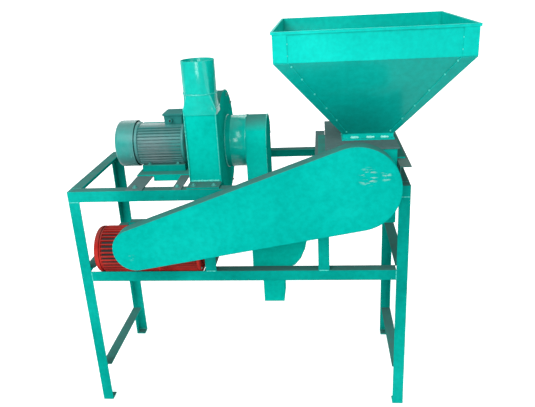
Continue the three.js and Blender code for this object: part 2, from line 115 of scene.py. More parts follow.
SCUFFS = [((0.3561, -0.3395, 0.9629), 0.034, lin(170, 186, 182)), ((0.4129, -0.3395, 0.9650), 0.020, lin(176, 206, 200)), ((-0.4576, -0.3395, 0.6820), 0.014, lin(110, 170, 162))]
def paint(name, dark, base, light, dust=None, dust_amount=0.0, rough=(0.25, 0.42), wear=None, wear_at=0.62, peel=0.05, coat=0.0, blotch=2.6, spec=0.0, underside_shade=0.74, scuff=()):
    n = Nodes(name)
    big = n.noise(blotch, 4.0, 0.55)
    col = n.ramp(big, "Fac", [(0.30, dark), (0.52, base), (0.74, light)])
    fine = n.noise(55.0, 5.0, 0.6)
    fr = n.ramp(fine, "Fac", [(0.35, (0.86, 0.86, 0.86)), (0.65, (1.0, 1.0, 1.0))])
    c = n.mix(1.0, None, col, "Color", fr, "Color", "MULTIPLY")
    if dust:
        geo = n.new("ShaderNodeNewGeometry")
        sep = n.new("ShaderNodeSeparateXYZ")
        n.link(geo, "Normal", sep, "Vector")
        up = n.ramp(sep, "Z", [(0.55, (0, 0, 0)), (0.95, (dust_amount,) * 3)])
        patch = n.noise(14.0, 6.0, 0.65)
        pr = n.ramp(patch, "Fac", [(0.30, (0.72, 0.72, 0.72)), (0.62, (1, 1, 1))])
        f = n.mix(1.0, None, up, "Color", pr, "Color", "MULTIPLY")
        c = n.mix(f, 2, c, 2, dust, None)
    # painted shade: the colour of faces pointing downwards is multiplied down to the given factor, darkening undersides
    # as if in shade
    g3 = n.new("ShaderNodeNewGeometry")
    s3 = n.new("ShaderNodeSeparateXYZ")
    n.link(g3, "Normal", s3, "Vector")
    m3 = n.new("ShaderNodeMath", operation="MULTIPLY")
    n.link(s3, "Z", m3, 0)
    m3.inputs[1].default_value = -1.0
    underside_shade_ramp = n.ramp(m3, 0, [(0.2, (1, 1, 1)), (0.6, (underside_shade,) * 3)])
    c = n.mix(1.0, None, c, 2, underside_shade_ramp, "Color", "MULTIPLY")
    if wear:
        geo2 = n.new("ShaderNodeNewGeometry")
        chips = n.noise(38.0, 8.0, 0.7)
        cr = n.ramp(chips, "Fac", [(wear_at, (0, 0, 0)), (wear_at + 0.03, (1, 1, 1))])
        pt = n.ramp(geo2, "Pointiness", [(0.505, (0.10, 0.10, 0.10)), (0.54, (0.9, 0.9, 0.9))])
        f = n.mix(1.0, None, cr, "Color", pt, "Color", "MULTIPLY")
        c = n.mix(f, 2, c, 2, wear, None)
    for (px, py, pz), rad, tone in scuff:
        d = n.new("ShaderNodeVectorMath", operation="DISTANCE")
        n.link(n.co, "Object", d, 0)
        d.inputs[1].default_value = (px, py, pz)
        near = n.ramp(d, "Value", [(rad * 0.2, (0.8, 0.8, 0.8)), (rad, (0, 0, 0))])
        st = n.noise(60.0, 6.0, 0.7, (0.35, 1.0, 1.6))
        sr = n.ramp(st, "Fac", [(0.52, (0, 0, 0)), (0.60, (1, 1, 1))])
        f = n.mix(1.0, None, near, "Color", sr, "Color", "MULTIPLY")
        c = n.mix(f, 2, c, 2, tone, None)
    n.link(c, 2, n.b, "Base Color")
    rr = n.ramp(fine, "Fac", [(0.3, (rough[0],) * 3), (0.7, (rough[1],) * 3)])
    n.link(rr, "Color", n.b, "Roughness")
    n.b.inputs["Metallic"].default_value = 0.0
    n.b.inputs["Specular IOR Level"].default_value = spec
    n.b.inputs["Coat Weight"].default_value = coat
    n.b.inputs["Coat Roughness"].default_value = 0.18
    p = n.noise(260.0, 2.0, 0.5)
    b1 = n.bump(p, "Fac", peel, 0.0006)
    dents = n.noise(7.0, 2.0, 0.5)
    b2 = n.bump(dents, "Fac", 0.10, 0.004, b1)
    n.link(b2, "Normal", n.b, "Normal")
    return n.m

def metal(name, dark, light, rough=(0.25, 0.5), metallic=1.0, stretch=None, scale=40.0, bumpy=0.06, rust=None):
    n = Nodes(name)
    a = n.noise(scale, 6.0, 0.6, stretch)
    c = n.ramp(a, "Fac", [(0.3, dark), (0.7, light)])
    if rust:
        r = n.noise(18.0, 7.0, 0.7)
        rr = n.ramp(r, "Fac", [(0.55, (0, 0, 0)), (0.72, (0.55, 0.55, 0.55))])
        c = n.mix(rr, "Color", c, "Color", rust, None)
        n.link(c, 2, n.b, "Base Color")
    else:
        n.link(c, "Color", n.b, "Base Color")
    q = n.ramp(a, "Fac", [(0.3, (rough[0],) * 3), (0.7, (rough[1],) * 3)])
    n.link(q, "Color", n.b, "Roughness")
    n.b.inputs["Metallic"].default_value = metallic
    b = n.bump(a, "Fac", bumpy, 0.0006)
    n.link(b, "Normal", n.b, "Normal")
    return n.m

DUST = lin(70, 98, 94)
TEAL_D, TEAL, TEAL_L = lin(2, 152, 138), lin(3, 174, 159), lin(12, 188, 173)
# every paint below darkens its downward-facing faces as painted shade, to 0.74 unless a lower factor is given
M = {
    "gloss": paint("glossy_sheet_enamel", TEAL_D, TEAL, TEAL_L, lin(20, 150, 138), 0.5, wear=lin(20, 100, 92), wear_at=0.76, coat=0.55, underside_shade=0.6),
    "box": paint("terminal_box_enamel", lin(30, 104, 100), lin(44, 124, 120), lin(66, 142, 138), lin(84, 112, 108), 0.4, rough=(0.35, 0.5), blotch=5.0),
    "plate": paint("mill_plate_enamel", lin(62, 100, 98), lin(84, 114, 114), lin(102, 124, 124), lin(92, 112, 110), 0.5, wear=lin(60, 84, 82), wear_at=0.70, rough=(0.5, 0.7)),
    "frame": paint("frame_enamel", lin(2, 124, 114), lin(4, 148, 136), lin(12, 164, 152), DUST, 0.85, wear=lin(20, 84, 78), wear_at=0.68),
    "sheet": paint("sheet_enamel", TEAL_D, TEAL, TEAL_L, lin(70, 112, 106), 0.85, wear=lin(20, 100, 92), wear_at=0.72),
    "guard": paint("guard_enamel", lin(2, 148, 137), lin(3, 160, 148), lin(8, 170, 158), lin(70, 98, 94), 0.85, wear=lin(40, 150, 140), wear_at=0.76, scuff=SCUFFS),
    "hopper": paint("hopper_enamel", lin(2, 168, 156), lin(2, 182, 169), lin(10, 196, 182), lin(70, 176, 166), 0.15, wear=lin(20, 110, 102), wear_at=0.74, rough=(0.22, 0.36), coat=0.25, underside_shade=0.58),
    "worn": paint("dusty_enamel", lin(40, 92, 86), lin(66, 112, 106), lin(96, 134, 128), lin(108, 122, 118), 0.75, wear=lin(52, 74, 70), wear_at=0.66, rough=(0.45, 0.7)),
    "red": paint("dull_red_enamel", lin(110, 24, 24), lin(160, 38, 34), lin(186, 58, 50), lin(120, 84, 78), 0.45, wear=lin(60, 34, 32), wear_at=0.68, rough=(0.4, 0.6), blotch=6.0),
    "motor": paint("motor_enamel", lin(10, 150, 140), lin(74, 140, 138), lin(122, 142, 144), lin(96, 112, 110), 0.7, wear=lin(60, 104, 100), wear_at=0.74, rough=(0.3, 0.45), blotch=5.0, spec=0.2),
    "rubber": metal("belt_rubber", lin(14, 14, 14), lin(38, 38, 38), (0.7, 0.9), 0.0, None, 90.0, 0.15),
    "iron": metal("cast_iron", lin(58, 60, 62), lin(104, 106, 108), (0.45, 0.7), 0.7, None, 70.0, 0.2, rust=lin(96, 66, 50)),
    "steel": metal("turned_steel", lin(128, 130, 132), lin(196, 198, 200), (0.22, 0.42), 1.0, (1.0, 18.0, 18.0), 30.0, 0.05),
    "weld": metal("painted_weld", lin(8, 148, 136), lin(52, 200, 186), (0.3, 0.5), 0.0, None, 160.0, 0.5),
    "tack": metal("bare_weld_tack", lin(110, 216, 204), lin(176, 240, 232), (0.3, 0.5), 0.0, None, 160.0, 0.4),
    # painted shade: near-black material put in fin gaps, behind cowl grilles and in bores, where only shade is seen
    "dark": metal("painted_recess_shade", lin(14, 16, 16), lin(34, 36, 36), (0.7, 0.9), 0.0, None, 60.0, 0.1),
    "bolt": metal("painted_bolt", lin(24, 116, 108), lin(70, 160, 150), (0.4, 0.6), 0.0, None, 60.0, 0.1),
}
SLOT_MAT = {"frame_paint": "frame", "worn_paint": "worn", "sheet_paint": "sheet", "red_paint": "red", "motor_paint": "motor", "belt_rubber": "rubber", "iron": "iron", "steel": "steel"}

# ---------------------------------------------------------------- mesh building (millimetres in, metres out)
def W3(x, y, z):
    return ((x - CX) / 1000, (y - CY) / 1000, z / 1000)

def arc(cu, cv, r, n, a0=0.0, a1=360.0):
    full = abs(a1 - a0) >= 360
    k = n if full else n + 1
    return [(cu + r * math.cos(math.radians(a0 + (a1 - a0) * i / n)), cv + r * math.sin(math.radians(a0 + (a1 - a0) * i / n))) for i in range(k)]

def hull2(x1, z1, r1, x2, z2, r2, n=72):
    d = math.hypot(x2 - x1, z2 - z1)
    base = math.degrees(math.atan2(z2 - z1, x2 - x1))
    b = math.degrees(math.acos((r1 - r2) / d))
    return arc(x2, z2, r2, n, base - b, base + b) + arc(x1, z1, r1, n, base + b, base + 360 - b)

AX = {"x": lambda u, v, w: (w, u, v), "y": lambda u, v, w: (u, w, v), "z": lambda u, v, w: (u, v, w)}

class Mesh:
    def __init__(self, name, mats, body=ROOT, node=None, slot=None):
        self.name, self.body, self.node, self.slot = name, body, node, slot
        self.bm = bmesh.new()
        self.mats = mats if isinstance(mats, list) else [mats]
        self.mi = 0
    def loops(self, loops, axis, cap0=True, cap1=True, close=False):
        f = AX[axis]
        rows = [[self.bm.verts.new(W3(*f(u, v, w))) for (u, v) in pts] for pts, w in loops]
        faces = []
        n = len(rows[0])
        pairs = list(zip(rows[:-1], rows[1:]))
        if close:
            pairs.append((rows[-1], rows[0]))
        for a, b in pairs:
            for i in range(n):
                j = (i + 1) % n
                faces.append(self.bm.faces.new((a[i], a[j], b[j], b[i])))
        if not close:
            if cap0:
                faces.append(self.bm.faces.new(rows[0]))
            if cap1:
                faces.append(self.bm.faces.new(rows[-1]))
        for x in faces:
            x.material_index = self.mi
        bmesh.ops.recalc_face_normals(self.bm, faces=faces)
        return faces
    def prism(self, pts, axis, a0, a1):
        return self.loops([(pts, a0), (pts, a1)], axis)
    def chamfered(self, pts_fn, axis, a0, a1, c):
        return self.loops([(pts_fn(c), a0), (pts_fn(0), a0 + c), (pts_fn(0), a1 - c), (pts_fn(c), a1)], axis)
    def box(self, x0, x1, y0, y1, z0, z1):
        return self.prism([(x0, y0), (x1, y0), (x1, y1), (x0, y1)], "z", z0, z1)
    def ring(self, outer, inner, axis, a0, a1):
        return self.loops([(outer, a0), (outer, a1), (inner, a1), (inner, a0)], axis, close=True)
    def turned(self, axis, cu, cv, prof, n=72, closed=False):
        f = AX[axis]
        rows = []
        for r, w in prof:
            if r <= 1e-6:
                rows.append([self.bm.verts.new(W3(*f(cu, cv, w)))])
            else:
                rows.append([self.bm.verts.new(W3(*f(cu + r * math.cos(2 * math.pi * i / n), cv + r * math.sin(2 * math.pi * i / n), w))) for i in range(n)])
        faces = []
        pairs = list(zip(rows[:-1], rows[1:]))
        if closed:
            pairs.append((rows[-1], rows[0]))
        for a, b in pairs:
            if len(a) == 1 and len(b) == 1:
                continue
            for i in range(n):
                j = (i + 1) % n
                if len(a) == 1:
                    faces.append(self.bm.faces.new((a[0], b[j], b[i])))
                elif len(b) == 1:
                    faces.append(self.bm.faces.new((a[i], a[j], b[0])))
                else:
                    faces.append(self.bm.faces.new((a[i], a[j], b[j], b[i])))
        for x in faces:
            x.material_index = self.mi
        bmesh.ops.recalc_face_normals(self.bm, faces=faces)
        return faces
    def tube(self, pts, r, n=8, wobble=0.0):
        P = [Vector(p) for p in pts]
        rows = []
        for i, p in enumerate(P):
            t = (P[min(i + 1, len(P) - 1)] - P[max(i - 1, 0)]).normalized()
            ref = Vector((0, 0, 1)) if abs(t.z) < 0.9 else Vector((1, 0, 0))
            u = t.cross(ref).normalized()
            v = t.cross(u)
            k = r * (1 + wobble * math.sin(i * 2.1) + wobble * 0.6 * math.sin(i * 0.73 + 1.3))
            if i in (0, len(P) - 1):
                k *= 0.45
            rows.append([self.bm.verts.new(W3(*(p + u * k * math.cos(2 * math.pi * q / n) + v * k * math.sin(2 * math.pi * q / n)))) for q in range(n)])
        faces = []
        for a, b in zip(rows[:-1], rows[1:]):
            for i in range(n):
                j = (i + 1) % n
                faces.append(self.bm.faces.new((a[i], a[j], b[j], b[i])))
        faces += [self.bm.faces.new(rows[0]), self.bm.faces.new(rows[-1])]
        for x in faces:
            x.material_index = self.mi
        bmesh.ops.recalc_face_normals(self.bm, faces=faces)
    def bead(self, a, b, r=3.0, step=4.0):
        A, B = Vector(a), Vector(b)
        n = max(3, int((B - A).length / step))
        self.tube([A.lerp(B, i / n) for i in range(n + 1)], r, 7, 0.22)
    def bead_path(self, pts, r=3.0):
        self.tube(pts, r, 7, 0.22)
    def dot(self, x, y, z, r, flat=0.45, axis="y"):
        cu, cv, w = {"x": (y, z, x), "y": (x, z, y), "z": (x, y, z)}[axis]
        prof = [(0, w - r * flat)] + [(r * math.sin(math.pi * i / 8), w - r * flat * math.cos(math.pi * i / 8)) for i in range(1, 8)] + [(0, w + r * flat)]
        self.turned(axis, cu, cv, prof, 14)
    def bolt(self, axis, cu, cv, w, s, r=7.0, h=5.0, washer=True):
        # head standing off the face at w, towards s
        if washer:
            self.turned(axis, cu, cv, [(0, w), (r * 1.45, w), (r * 1.45, w + s * 1.2), (r * 1.35, w + s * 1.5), (0, w + s * 1.5)], 24)
            w = w + s * 1.5
        hexa = lambda k: arc(cu, cv, r * k, 6, 12, 372)
        self.loops([(hexa(1.0), w), (hexa(1.0), w + s * h * 0.8), (hexa(0.86), w + s * h)], axis)
        self.turned(axis, cu, cv, [(0, w + s * h), (r * 0.55, w + s * h), (r * 0.55, w + s * (h + 1.6)), (r * 0.45, w + s * (h + 2.2)), (0, w + s * (h + 2.2))], 16)
    def done(self, bevel=0.0, segs=2, angle=35.0, weld=True):
        me = bpy.data.meshes.new(self.name)
        if weld:
            bmesh.ops.remove_doubles(self.bm, verts=self.bm.verts, dist=1e-6)
        for f in self.bm.faces:
            f.smooth = True
        self.bm.to_mesh(me)
        self.bm.free()
        for m in self.mats:
            me.materials.append(M[m])
        o = bpy.data.objects.new(self.name, me)
        bpy.context.scene.collection.objects.link(o)
        return finish_piece(o, bevel, segs, angle, self.body, self.node, self.slot)

def finish_piece(o, bevel, segs, angle, body, node, slot):
    o.data.set_sharp_from_angle(angle=math.radians(angle))
    if bevel > 0:
        b = o.modifiers.new("edge", "BEVEL")
        b.width = bevel / 1000
        b.segments = segs
        b.limit_method = "ANGLE"
        b.angle_limit = math.radians(angle)
        b.harden_normals = True
        b.use_clamp_overlap = True
    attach(o, body)
    if node:
        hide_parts(*([node] if isinstance(node, str) else node))
    return o

def refine(node, mat=None, bevel=0.8, segs=2, angle=28.0):
    src = NODES[node]
    bm = bmesh.new()
    bm.from_mesh(src.data)
    bmesh.ops.transform(bm, matrix=src.matrix_world, verts=bm.verts)
    bmesh.ops.remove_doubles(bm, verts=bm.verts, dist=2e-6)
    bmesh.ops.dissolve_limit(bm, angle_limit=math.radians(0.6), verts=bm.verts, edges=bm.edges)
    for f in bm.faces:
        f.smooth = True
    me = bpy.data.meshes.new(node + "_fine")
    bm.to_mesh(me)
    bm.free()
    me.materials.clear()
    me.materials.append(M[mat or SLOT_MAT[SLOT[node]]])
    o = bpy.data.objects.new(node + "_fine", me)
    bpy.context.scene.collection.objects.link(o)
    return finish_piece(o, bevel, segs, angle, BODY_OF[node], node, None)

REBUILT = set()

# ---------------------------------------------------------------- belt guard
def build_guard():
    C = (246, 709, 78, 1015, 917, 146)
    off = lambda d: hull2(C[0], C[1], C[2] - d, C[3], C[4], C[5] - d, 96)
    y0, y1, R = -87.0, -30.0, 4.0
    g = Mesh("belt_guard_shell", ["guard", "weld", "bolt"], node="belt_guard")
    L = [(off(R), y0)]
    for i in range(1, 6):
        a = math.radians(90 * i / 5)
        L.append((off(R - R * math.sin(a)), y0 + R - R * math.cos(a)))
    L += [(off(0), y1 - 0.6), (off(0.6), y1), (off(2.0), y1), (off(2.5), y1 - 0.6), (off(2.5), y0 + 5), (off(5), y0 + 2.5)]
    g.loops(L, "y")
    for (x, z, h) in ((715, 878, 20), (493, 758, 20), (905, 841, 18)):
        g.box(x - 15, x + 15, y0 + 2, -0.3, z - h / 2, z + h / 2)
    g.done(0.0)
    REBUILT.add("belt_guard")
build_guard()

# ---------------------------------------------------------------- hopper
HX, HY, HWD, HDD, HZ0, HZ1, HZ2, NWD, NDD = 1068, 283, 313, 304, 1040, 1321, 1417, 89, 115
def build_hopper():
    refine("hopper", "hopper", 0.9)
    REBUILT.add("hopper")
    t = 2.6
    def quad_plate(name, pts, nrm):
        # thin plate lying on a face; pts are its outer corners, nrm the outward direction
        m = Mesh(name, ["hopper"], slot="sheet_paint")
        n = Vector(nrm).normalized()
        lo = [m.bm.verts.new(W3(*p)) for p in pts]
        hi = [m.bm.verts.new(W3(*(Vector(p) + n * t))) for p in pts]
        fs = [m.bm.faces.new(lo), m.bm.faces.new(hi)]
        for i in range(len(pts)):
            j = (i + 1) % len(pts)
            fs.append(m.bm.faces.new((lo[i], lo[j], hi[j], hi[i])))
        bmesh.ops.recalc_face_normals(m.bm, faces=fs)
        return m.done(0.7)
    for side, sy in (("front", -1), ("back", 1)):
        yb = HY + sy * HDD
        ny = (0, sy, 0)
        for tag, s in (("left", -1), ("right", 1)):
            xo = HX + s * HWD
            quad_plate(f"hopper_{side}_{tag}_band_flange", [(xo, yb, HZ1 + 1), (xo - s * 46, yb, HZ1 + 1), (xo - s * 46, yb, HZ2 - 3.5), (xo, yb, HZ2 - 3.5)], ny)
            yn = HY + sy * NDD
            xn = HX + s * NWD
            dz, dy = HZ1 - HZ0, abs(yb - yn)
            nrm = Vector((0, sy * dz, -dy)).normalized()
            f = lambda k, w: (xo + (xn - xo) * k - s * w, yb + (yn - yb) * k, HZ1 + (HZ0 - HZ1) * k)
            quad_plate(f"hopper_{side}_{tag}_slope_flange", [f(0.0, 0), f(0.0, 50), f(0.985, 20), f(0.985, 0)], nrm)
    w = Mesh("hopper_weld_tacks", ["weld"], slot="sheet_paint")
    for sy in (-1, 1):
        for s in (-1, 1):
            for k in (0.04, 0.20, 0.40, 0.60, 0.78, 0.96):
                xo, yb = HX + s * HWD, HY + sy * HDD
                xn, yn = HX + s * NWD, HY + sy * NDD
                wd = 50 - 30 * k
                x = xo + (xn - xo) * k - s * wd
                y = yb + (yn - yb) * k + sy * 1.8
                z = HZ1 + (HZ0 - HZ1) * k - 1.2
                w.dot(x, y, z, 3.4, 0.5, "y")
            for z in (HZ1 + 22, HZ1 + 58):
                w.dot(HX + s * (HWD - 46), HY + sy * (HDD + 1.4), z, 2.8, 0.5, "y")
    tk = Mesh("collar_weld_tacks", ["tack"], slot="steel")
    for x in (HX - 48, HX + 8, HX + 58):
        for sy in (-1, 1):
            tk.bead((x - 14, HY + sy * (NDD + 2), 1027), (x + 14, HY + sy * (NDD + 2), 1027), 4.2)
    tk.done(0.0)
    for sy in (-60, 0, 60):
        for s in (-1, 1):
            w.bead((HX + s * (NWD + 2), HY + sy - 10, 1026.5), (HX + s * (NWD + 2), HY + sy + 10, 1026.5), 3.2)
    w.done(0.0)
    # rolled hem under the folded lip
    h = Mesh("hopper_lip_hem", ["hopper"], slot="sheet_paint")
    X0, X1, Y0, Y1 = HX - HWD - 4.6, HX + HWD + 4.6, HY - HDD - 4.6, HY + HDD + 4.6
    sq = lambda d: [(X0 + d, Y0 + d), (X1 - d, Y0 + d), (X1 - d, Y1 - d), (X0 + d, Y1 - d)]
    h.loops([(sq(0), HZ2 - 9), (sq(0), HZ2 - 1.5), (sq(2.2), HZ2 - 1.5), (sq(2.2), HZ2 - 9)], "z", close=True)
    h.done(0.5)
build_hopper()

# ---------------------------------------------------------------- fan scroll, outlet, drum, duct
FY, FZ = 257.0, 1004.0
def scroll_outline(r, grow=0.0, n=144):
    y0, y1, z0, z1 = 65 - grow, 150 + grow, 900.3 - grow * 0, 1165.0
    ang = [360.0 * i / n for i in range(n)]
    ang += [math.degrees(math.atan2(z1 - FZ, y0 - FY)) % 360, math.degrees(math.atan2(z0 - FZ, y0 - FY)) % 360]
    out = []
    for a in sorted(ang):
        c, s = math.cos(math.radians(a)), math.sin(math.radians(a))
        d = r
        if c < 0:
            t = (FY - y0) / -c
            if s > 1e-9:
                t = min(t, (z1 - FZ) / s)
            elif s < -1e-9:
                t = min(t, (FZ - z0) / -s)
            d = max(r, t)
        out.append((FY + d * c, FZ + d * s, a))
    return out

def build_fan():
    A = scroll_outline(192.0)
    P = [(u, v) for u, v, a in A]
    hole = lambda r: [(FY + r * math.cos(math.radians(a)), FZ + r * math.sin(math.radians(a))) for u, v, a in A]
    s = Mesh("fan_scroll_shell", ["sheet", "weld", "bolt", "frame"], node="fan_scroll")
    ins = lambda k: [(FY + (u - FY) * (1 - k / math.hypot(u - FY, v - FZ)), FZ + (v - FZ) * (1 - k / math.hypot(u - FY, v - FZ))) for u, v, a in A]
    # side plates with a small rim, wrapper set in between
    s.ring(P, hole(16), "x", 432, 435)
    s.ring(P, hole(90), "x", 544, 547)
    s.ring(ins(3.5), ins(6.5), "x", 434.5, 544.5)
    s.mi = 3
    for ya, yb in ((4, 66), (412, 509)):
        s.box(432, 547, ya, yb, 900.3, 906)
    s.mi = 1
    s.bead((437, 67, 909), (542, 67, 909), 4.0)
    s.bead((434.5, 64.6, 930), (434.5, 64.6, 1158), 1.6)
    s.bead((544, 64.6, 930), (544, 64.6, 1158), 1.6)
    for a in range(-60, 115, 1):
        pass
    s.bead_path([(545.5, FY + 190 * math.cos(math.radians(a)), FZ + 190 * math.sin(math.radians(a))) for a in range(-30, 100, 2)], 1.7)
    s.mi = 2
    for a in (-75, -45, -15, 15, 45, 75):
        s.bolt("x", FY + 174 * math.cos(math.radians(a)), FZ + 174 * math.sin(math.radians(a)), 547, 1, 5.0, 4.0)
        s.bolt("x", FY + 174 * math.cos(math.radians(a)), FZ + 174 * math.sin(math.radians(a)), 432, -1, 5.0, 4.0)
    for x in (454, 526):
        s.bolt("z", x, 24, 906, 1, 6.5, 5.0)
        s.bolt("z", x, 492, 906, 1, 6.5, 5.0)
    s.done(0.7, 2, 40)
    REBUILT.add("fan_scroll")
    # square to round transition and the pipe
    n = 96
    def sq(x0, x1, y0, y1):
        o = []
        for i in range(n):
            a = 2 * math.pi * (i + 0.5) / n
            c, q = math.cos(a), math.sin(a)
            k = 1 / max(abs(c), abs(q))
            o.append(((x0 + x1) / 2 + (x1 - x0) / 2 * c * k, (y0 + y1) / 2 + (y1 - y0) / 2 * q * k))
        return o
    ci = lambda r: [(486 + r * math.cos(2 * math.pi * (i + 0.5) / n), 123 + r * math.sin(2 * math.pi * (i + 0.5) / n)) for i in range(n)]
    o = Mesh("fan_outlet_pipe_shell", ["gloss", "weld"], node="fan_outlet_pipe")
    o.loops([(sq(431.7, 547.3, 64.7, 150.3), 1146), (sq(431.7, 547.3, 64.7, 150.3), 1165.3), (ci(58), 1215), (ci(58), 1324.5), (ci(57.4), 1326), (ci(56.2), 1326), (ci(55.5), 1324.5), (ci(55.5), 1215), (sq(435, 544, 68, 147), 1165.3), (sq(431.9, 547.1, 64.9, 150.1), 1146)], "z", close=True)
    o.mi = 1
    o.bead_path([(486 + 58.5 * math.cos(math.radians(a)), 123 + 58.5 * math.sin(math.radians(a)), 1215) for a in range(0, 361, 4)], 2.4)
    for (a, b) in (((546, 66, 1166), (546, 149, 1166)), ((433, 66, 1166), (433, 149, 1166))):
        o.bead(a, b, 2.4)
    for (cx, cy, px, py) in ((434, 67, 446, 82), (545, 67, 526, 82), (434, 148, 446, 164), (545, 148, 526, 164)):
        o.bead((cx, cy, 1167), (px, py, 1214), 1.5)
    o.done(0.0, 2, 32)
    REBUILT.add("fan_outlet_pipe")
    d = Mesh("fan_inlet_drum_shell", ["gloss", "weld"], node="fan_inlet_drum")
    d.turned("x", FY, FZ, [(98, 547.3), (98, 551), (96.6, 552), (96.6, 567), (97.8, 569), (97.8, 573), (96.6, 575), (96.6, 622), (98, 624), (98, 627.7), (95, 627.7), (95, 547.3)], 128, closed=True)
    d.mi = 1
    d.bead_path([(552, FY + 97.6 * math.cos(math.radians(a)), FZ + 97.6 * math.sin(math.radians(a))) for a in range(0, 361, 3)], 2.2)
    d.done(0.0)
    REBUILT.add("fan_inlet_drum")
    # duct with a rounded top
    def U(r, zb, k=64):
        return arc(FY, FZ, r, k, 0, 180) + [(FY - r, zb), (FY + r, zb)]
    def Uh(r, k=64):
        p = U(98, 740, k)
        return [(FY + r * math.cos(math.atan2(v - FZ, u - FY)), FZ + r * math.sin(math.atan2(v - FZ, u - FY))) for u, v in p]
    q = Mesh("suction_duct_shell", ["sheet", "weld"], node="suction_duct")
    q.ring(U(96.6, 740), U(94.6, 740), "x", 629.5, 701.5)
    q.prism(U(98, 740), "x", 701, 703)
    q.ring(U(98, 740), Uh(92), "x", 628, 630)
    q.mi = 1
    q.bead_path([(703, FY + 97 * math.cos(math.radians(a)), FZ + 97 * math.sin(math.radians(a))) for a in range(0, 181, 3)], 1.5)
    q.bead((703, FY - 97, 1000), (703, FY - 97, 745), 1.4)
    q.done(0.5, 2, 35)
    REBUILT.add("suction_duct")
build_fan()

# ---------------------------------------------------------------- motors
def fins(m, cy, cz, x0, x1, r0, r1, n, skip, thick=2.4, tip=1.6):
    for i in range(n):
        a = 360.0 * (i + 0.5) / n
        if any(lo <= a <= hi for lo, hi in skip):
            continue
        c, s = math.cos(math.radians(a)), math.sin(math.radians(a))
        q = lambda u, v: (cy + u * c - v * s, cz + u * s + v * c)
        pts = [q(r0, -thick / 2), q(r1 - 1, -tip / 2), q(r1, -tip / 4), q(r1, tip / 4), q(r1 - 1, tip / 2), q(r0, thick / 2)]
        m.prism(pts, "x", x0, x1)

def build_fan_motor():
    b = Mesh("fan_motor_body_shell", ["motor", "dark", "bolt", "frame"], node="fan_motor_body")
    b.turned("x", FY, FZ, [(9.7, 206), (80, 206), (82, 207.5), (82, 216), (80, 218), (75, 219), (75, 383), (80, 384), (82, 386), (82, 392), (78, 395.2), (46, 396), (9.7, 396)], 96)
    fins(b, FY, FZ, 219, 383, 74, 83, 40, [(62, 118), (240, 300)])
    b.mi = 3
    b.prism([(FY - 66, 909.3), (FY - 66, 931), (FY - 63, 934), (FY + 63, 934), (FY + 66, 931), (FY + 66, 909.3)], "x", 226, 390)
    b.mi = 0
    b.box(322, 390, FY - 36, FY + 36, 1070, 1081.7)
    b.mi = 2
    for x in (254, 362):
        for y in (FY - 56, FY + 56):
            b.bolt("z", x, y, 934.2, 1, 6.0, 5.0)
    for a in (45, 135, 225, 315):
        b.bolt("x", FY + 70 * math.cos(math.radians(a)), FZ + 70 * math.sin(math.radians(a)), 395.8, 1, 4.5, 3.0, False)
    b.done(0.6, 2, 35)
    REBUILT.add("fan_motor_body")
    c = Mesh("fan_motor_cowl_shell", ["motor", "dark", "bolt"], node="fan_motor_cowl")
    c.turned("x", FY, FZ, [(86.0, 205.7), (88, 205.7), (88, 147), (87.2, 142.5), (84.6, 138.4), (80.5, 135.4), (74, 133.6), (70, 133.2), (70, 135.4), (76, 136.2), (82, 139.4), (85.4, 145), (86, 149)], 96, closed=True)
    for k, r in enumerate((70, 62.5, 55, 47.5, 40, 32.5)):
        c.turned("x", FY, FZ, [(r, 133.2), (r, 135.2), (r - 3.2, 135.2), (r - 3.2, 133.2)], 72, closed=True)
    for a in range(0, 360, 45):
        cc, ss = math.cos(math.radians(a)), math.sin(math.radians(a))
        q = lambda u, v: (FY + u * cc - v * ss, FZ + u * ss + v * cc)
        c.prism([q(24, -2.2), q(72, -2.2), q(72, 2.2), q(24, 2.2)], "x", 133.6, 135.6)
    c.turned("x", FY, FZ, [(0, 133.1), (25, 133.1), (25, 135.4), (0, 135.4)], 48)
    # painted shade: near-black disc inside the cowl, behind the grille
    c.mi = 1
    c.turned("x", FY, FZ, [(0, 139), (68, 139), (68, 140), (0, 140)], 48)
    c.mi = 2
    for a in (20, 110, 200, 290):
        cc, ss = math.cos(math.radians(a)), math.sin(math.radians(a))
        c.dot(194, FY + 88 * cc, FZ + 88 * ss, 3.6, 0.6, "y" if abs(cc) > abs(ss) else "z")
    c.done(0.0, 2, 35)
    REBUILT.add("fan_motor_cowl")
    t = Mesh("fan_terminal_box_shell", ["box", "dark", "bolt"], node="fan_terminal_box")
    rr = lambda x0, x1, y0, y1, r: [(x, y) for cx, cy, a0 in ((x1 - r, y1 - r, 0), (x0 + r, y1 - r, 90), (x0 + r, y0 + r, 180), (x1 - r, y0 + r, 270)) for x, y in arc(cx, cy, r, 6, a0, a0 + 90)]
    t.loops([(rr(322, 390, 218, 296, 8), 1082), (rr(320, 392, 216, 298, 8), 1114.5)], "z")
    t.loops([(rr(316.5, 395.5, 212.5, 301.5, 9), 1115), (rr(316, 396, 212, 302, 9), 1116.5), (rr(316, 396, 212, 302, 9), 1121), (rr(320, 392, 216, 298, 7), 1124)], "z")
    t.turned("y", 346, 1098, [(0, 205), (6, 205), (9, 207), (9, 211), (7.5, 212), (7.5, 214), (10, 214.2), (10, 217), (0, 217)], 32)
    # painted shade: near-black disc in the cable gland bore
    t.mi = 1
    t.turned("y", 346, 1098, [(0, 204.2), (4.2, 204.2), (4.2, 206), (0, 206)], 20)
    t.mi = 2
    for x in (323, 389):
        for y in (219, 295):
            t.dot(x, y, 1122.6, 3.2, 0.5, "z")
    t.done(0.5, 2, 35)
    REBUILT.add("fan_terminal_box")

